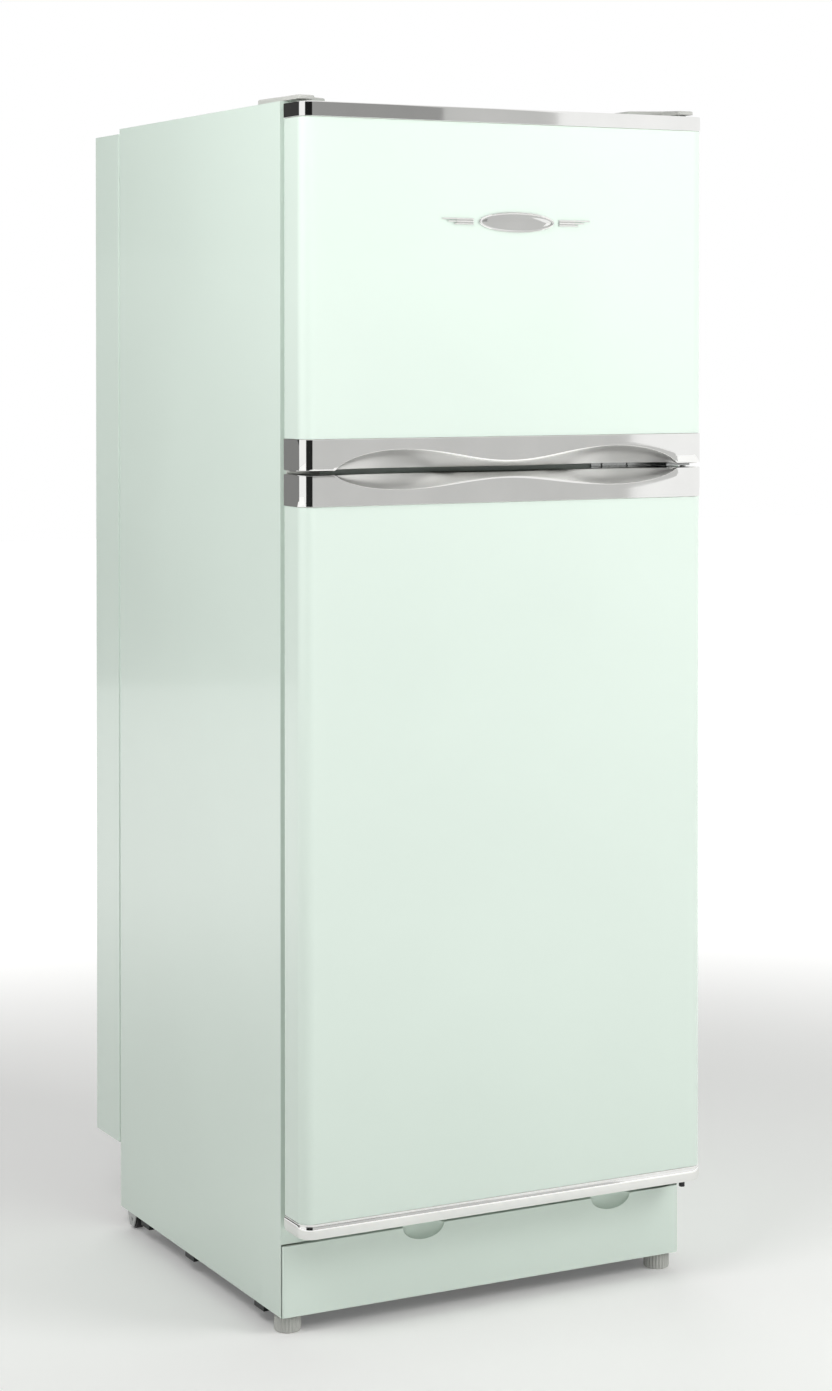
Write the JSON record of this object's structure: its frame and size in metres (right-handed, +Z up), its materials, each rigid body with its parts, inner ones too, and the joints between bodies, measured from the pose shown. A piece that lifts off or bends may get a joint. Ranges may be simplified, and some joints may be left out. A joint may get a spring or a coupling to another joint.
{
  "type": "top freezer refrigerator",
  "caption": "Free-standing top freezer refrigerator, gas absorption type, with rounded doors, bright recessed handle strips and rear wings round the cooling unit.",
  "frame": {"origin": "centre of the footprint, on the floor", "axes": "+Z up, +X to the right as one faces the doors, +Y from the doors to the back"},
  "size_m": [0.6, 0.7115, 1.5873],
  "materials": {
    "mint_enamel": "gloss",
    "bright_plating": "polished",
    "white_abs": "satin",
    "grey_abs": "matte",
    "polyurethane_foam": "matte",
    "gasket_vinyl": "matte",
    "galvanised_steel": "satin",
    "black_steel": "satin",
    "unit_enamel": "satin",
    "aluminium": "satin",
    "zinc_plate": "satin",
    "brass": "satin",
    "black_plastic": "matte",
    "toughened_glass": "gloss",
    "clear_plastic": "gloss",
    "coated_wire": "gloss"
  },
  "bodies": {
    "cabinet": {"cabinet_wrapper": "mint_enamel", "foam_insulation": "polyurethane_foam", "rear_panel": "galvanised_steel", "freezer_liner": "white_abs", "fridge_liner": "white_abs", "mullion_rail": "mint_enamel", "bottom_front_rail": "mint_enamel", "base_frame": "black_steel", "roller_bracket_left": "zinc_plate", "roller_bracket_right": "zinc_plate", "rear_wing_left": "mint_enamel", "rear_wing_right": "mint_enamel", "boiler_casing": "galvanised_steel", "burner_box": "galvanised_steel", "receiver_tank": "unit_enamel", "absorber_coil": "unit_enamel", "condenser": "unit_enamel", "gas_line": "brass", "control_panel": "black_steel", "top_hinge_bracket": "zinc_plate", "top_hinge_cover_left": "grey_abs", "top_hinge_cover_right": "grey_abs", "middle_hinge_bracket": "zinc_plate", "middle_blank_left": "grey_abs", "bottom_hinge_bracket": "black_steel", "fridge_shelf_upper": "toughened_glass", "fridge_shelf_lower": "toughened_glass", "crisper_cover": "toughened_glass", "fridge_evaporator": "aluminium", "freezer_evaporator": "aluminium", "freezer_shelf": "coated_wire"},
    "freezer_door": {"freezer_door_skin": "mint_enamel", "freezer_door_foam": "polyurethane_foam", "freezer_door_liner": "white_abs", "freezer_door_gasket": "gasket_vinyl", "freezer_door_top_trim": "bright_plating", "freezer_door_handle": "bright_plating", "freezer_door_bin_lower": "clear_plastic", "freezer_door_bin_upper": "clear_plastic", "badge_wing_left": "bright_plating", "badge_plaque": "bright_plating", "badge_wing_right": "bright_plating"},
    "fridge_door": {"fridge_door_skin": "mint_enamel", "fridge_door_foam": "polyurethane_foam", "fridge_door_liner": "white_abs", "fridge_door_gasket": "gasket_vinyl", "fridge_door_handle": "bright_plating", "fridge_door_bottom_trim": "bright_plating", "fridge_door_bin_lower": "clear_plastic", "fridge_door_bin_middle": "clear_plastic", "fridge_door_bin_upper": "clear_plastic"},
    "crisper_drawer": {"crisper_drawer": "clear_plastic"},
    "kick_plate": {"kick_plate": "mint_enamel"},
    "foot_left": {"foot_left": "grey_abs"},
    "foot_right": {"foot_right": "grey_abs"},
    "roller_left": {"roller_left": "black_plastic"},
    "roller_right": {"roller_right": "black_plastic"},
    "gas_knob": {"gas_knob": "black_plastic"},
    "thermostat_knob": {"thermostat_knob": "black_plastic"},
    "igniter_button": {"igniter_button": "black_plastic"}
  },
  "joints": [
    {"name": "freezer_door_hinge", "type": "hinge", "parent": "cabinet", "child": "freezer_door", "pos_m": [0.285, -0.3225, 1.343], "axis": [0, 0, 1], "range_deg": [0, 130]},
    {"name": "fridge_door_hinge", "type": "hinge", "parent": "cabinet", "child": "fridge_door", "pos_m": [0.285, -0.3225, 0.623], "axis": [0, 0, 1], "range_deg": [0, 130]},
    {"name": "crisper_slide", "type": "slide", "parent": "cabinet", "child": "crisper_drawer", "axis": [0, -1, 0], "range_m": [0, 0.07]},
    {"name": "kick_plate_pull", "type": "slide", "parent": "cabinet", "child": "kick_plate", "axis": [0, -1, 0], "range_m": [0, 0.12]},
    {"name": "foot_left_turn", "type": "hinge", "parent": "cabinet", "child": "foot_left", "pos_m": [-0.28, -0.2655, 0.011], "axis": [0, 0, 1], "continuous": true},
    {"name": "foot_right_turn", "type": "hinge", "parent": "cabinet", "child": "foot_right", "pos_m": [0.28, -0.2655, 0.011], "axis": [0, 0, 1], "continuous": true},
    {"name": "roller_left_spin", "type": "hinge", "parent": "cabinet", "child": "roller_left", "pos_m": [-0.287, 0.2275, 0.013], "axis": [1, 0, 0], "continuous": true},
    {"name": "roller_right_spin", "type": "hinge", "parent": "cabinet", "child": "roller_right", "pos_m": [0.287, 0.2275, 0.013], "axis": [1, 0, 0], "continuous": true},
    {"name": "gas_knob_turn", "type": "hinge", "parent": "cabinet", "child": "gas_knob", "pos_m": [0, -0.2665, 0.076], "axis": [0, 1, 0], "range_deg": [0, 90]},
    {"name": "thermostat_knob_turn", "type": "hinge", "parent": "cabinet", "child": "thermostat_knob", "pos_m": [0.058, -0.2665, 0.076], "axis": [0, 1, 0], "range_deg": [0, 270]},
    {"name": "igniter_press", "type": "slide", "parent": "cabinet", "child": "igniter_button", "axis": [0, 1, 0], "range_m": [0, 0.004], "stiffness_N_per_m": 1500}
  ]
}
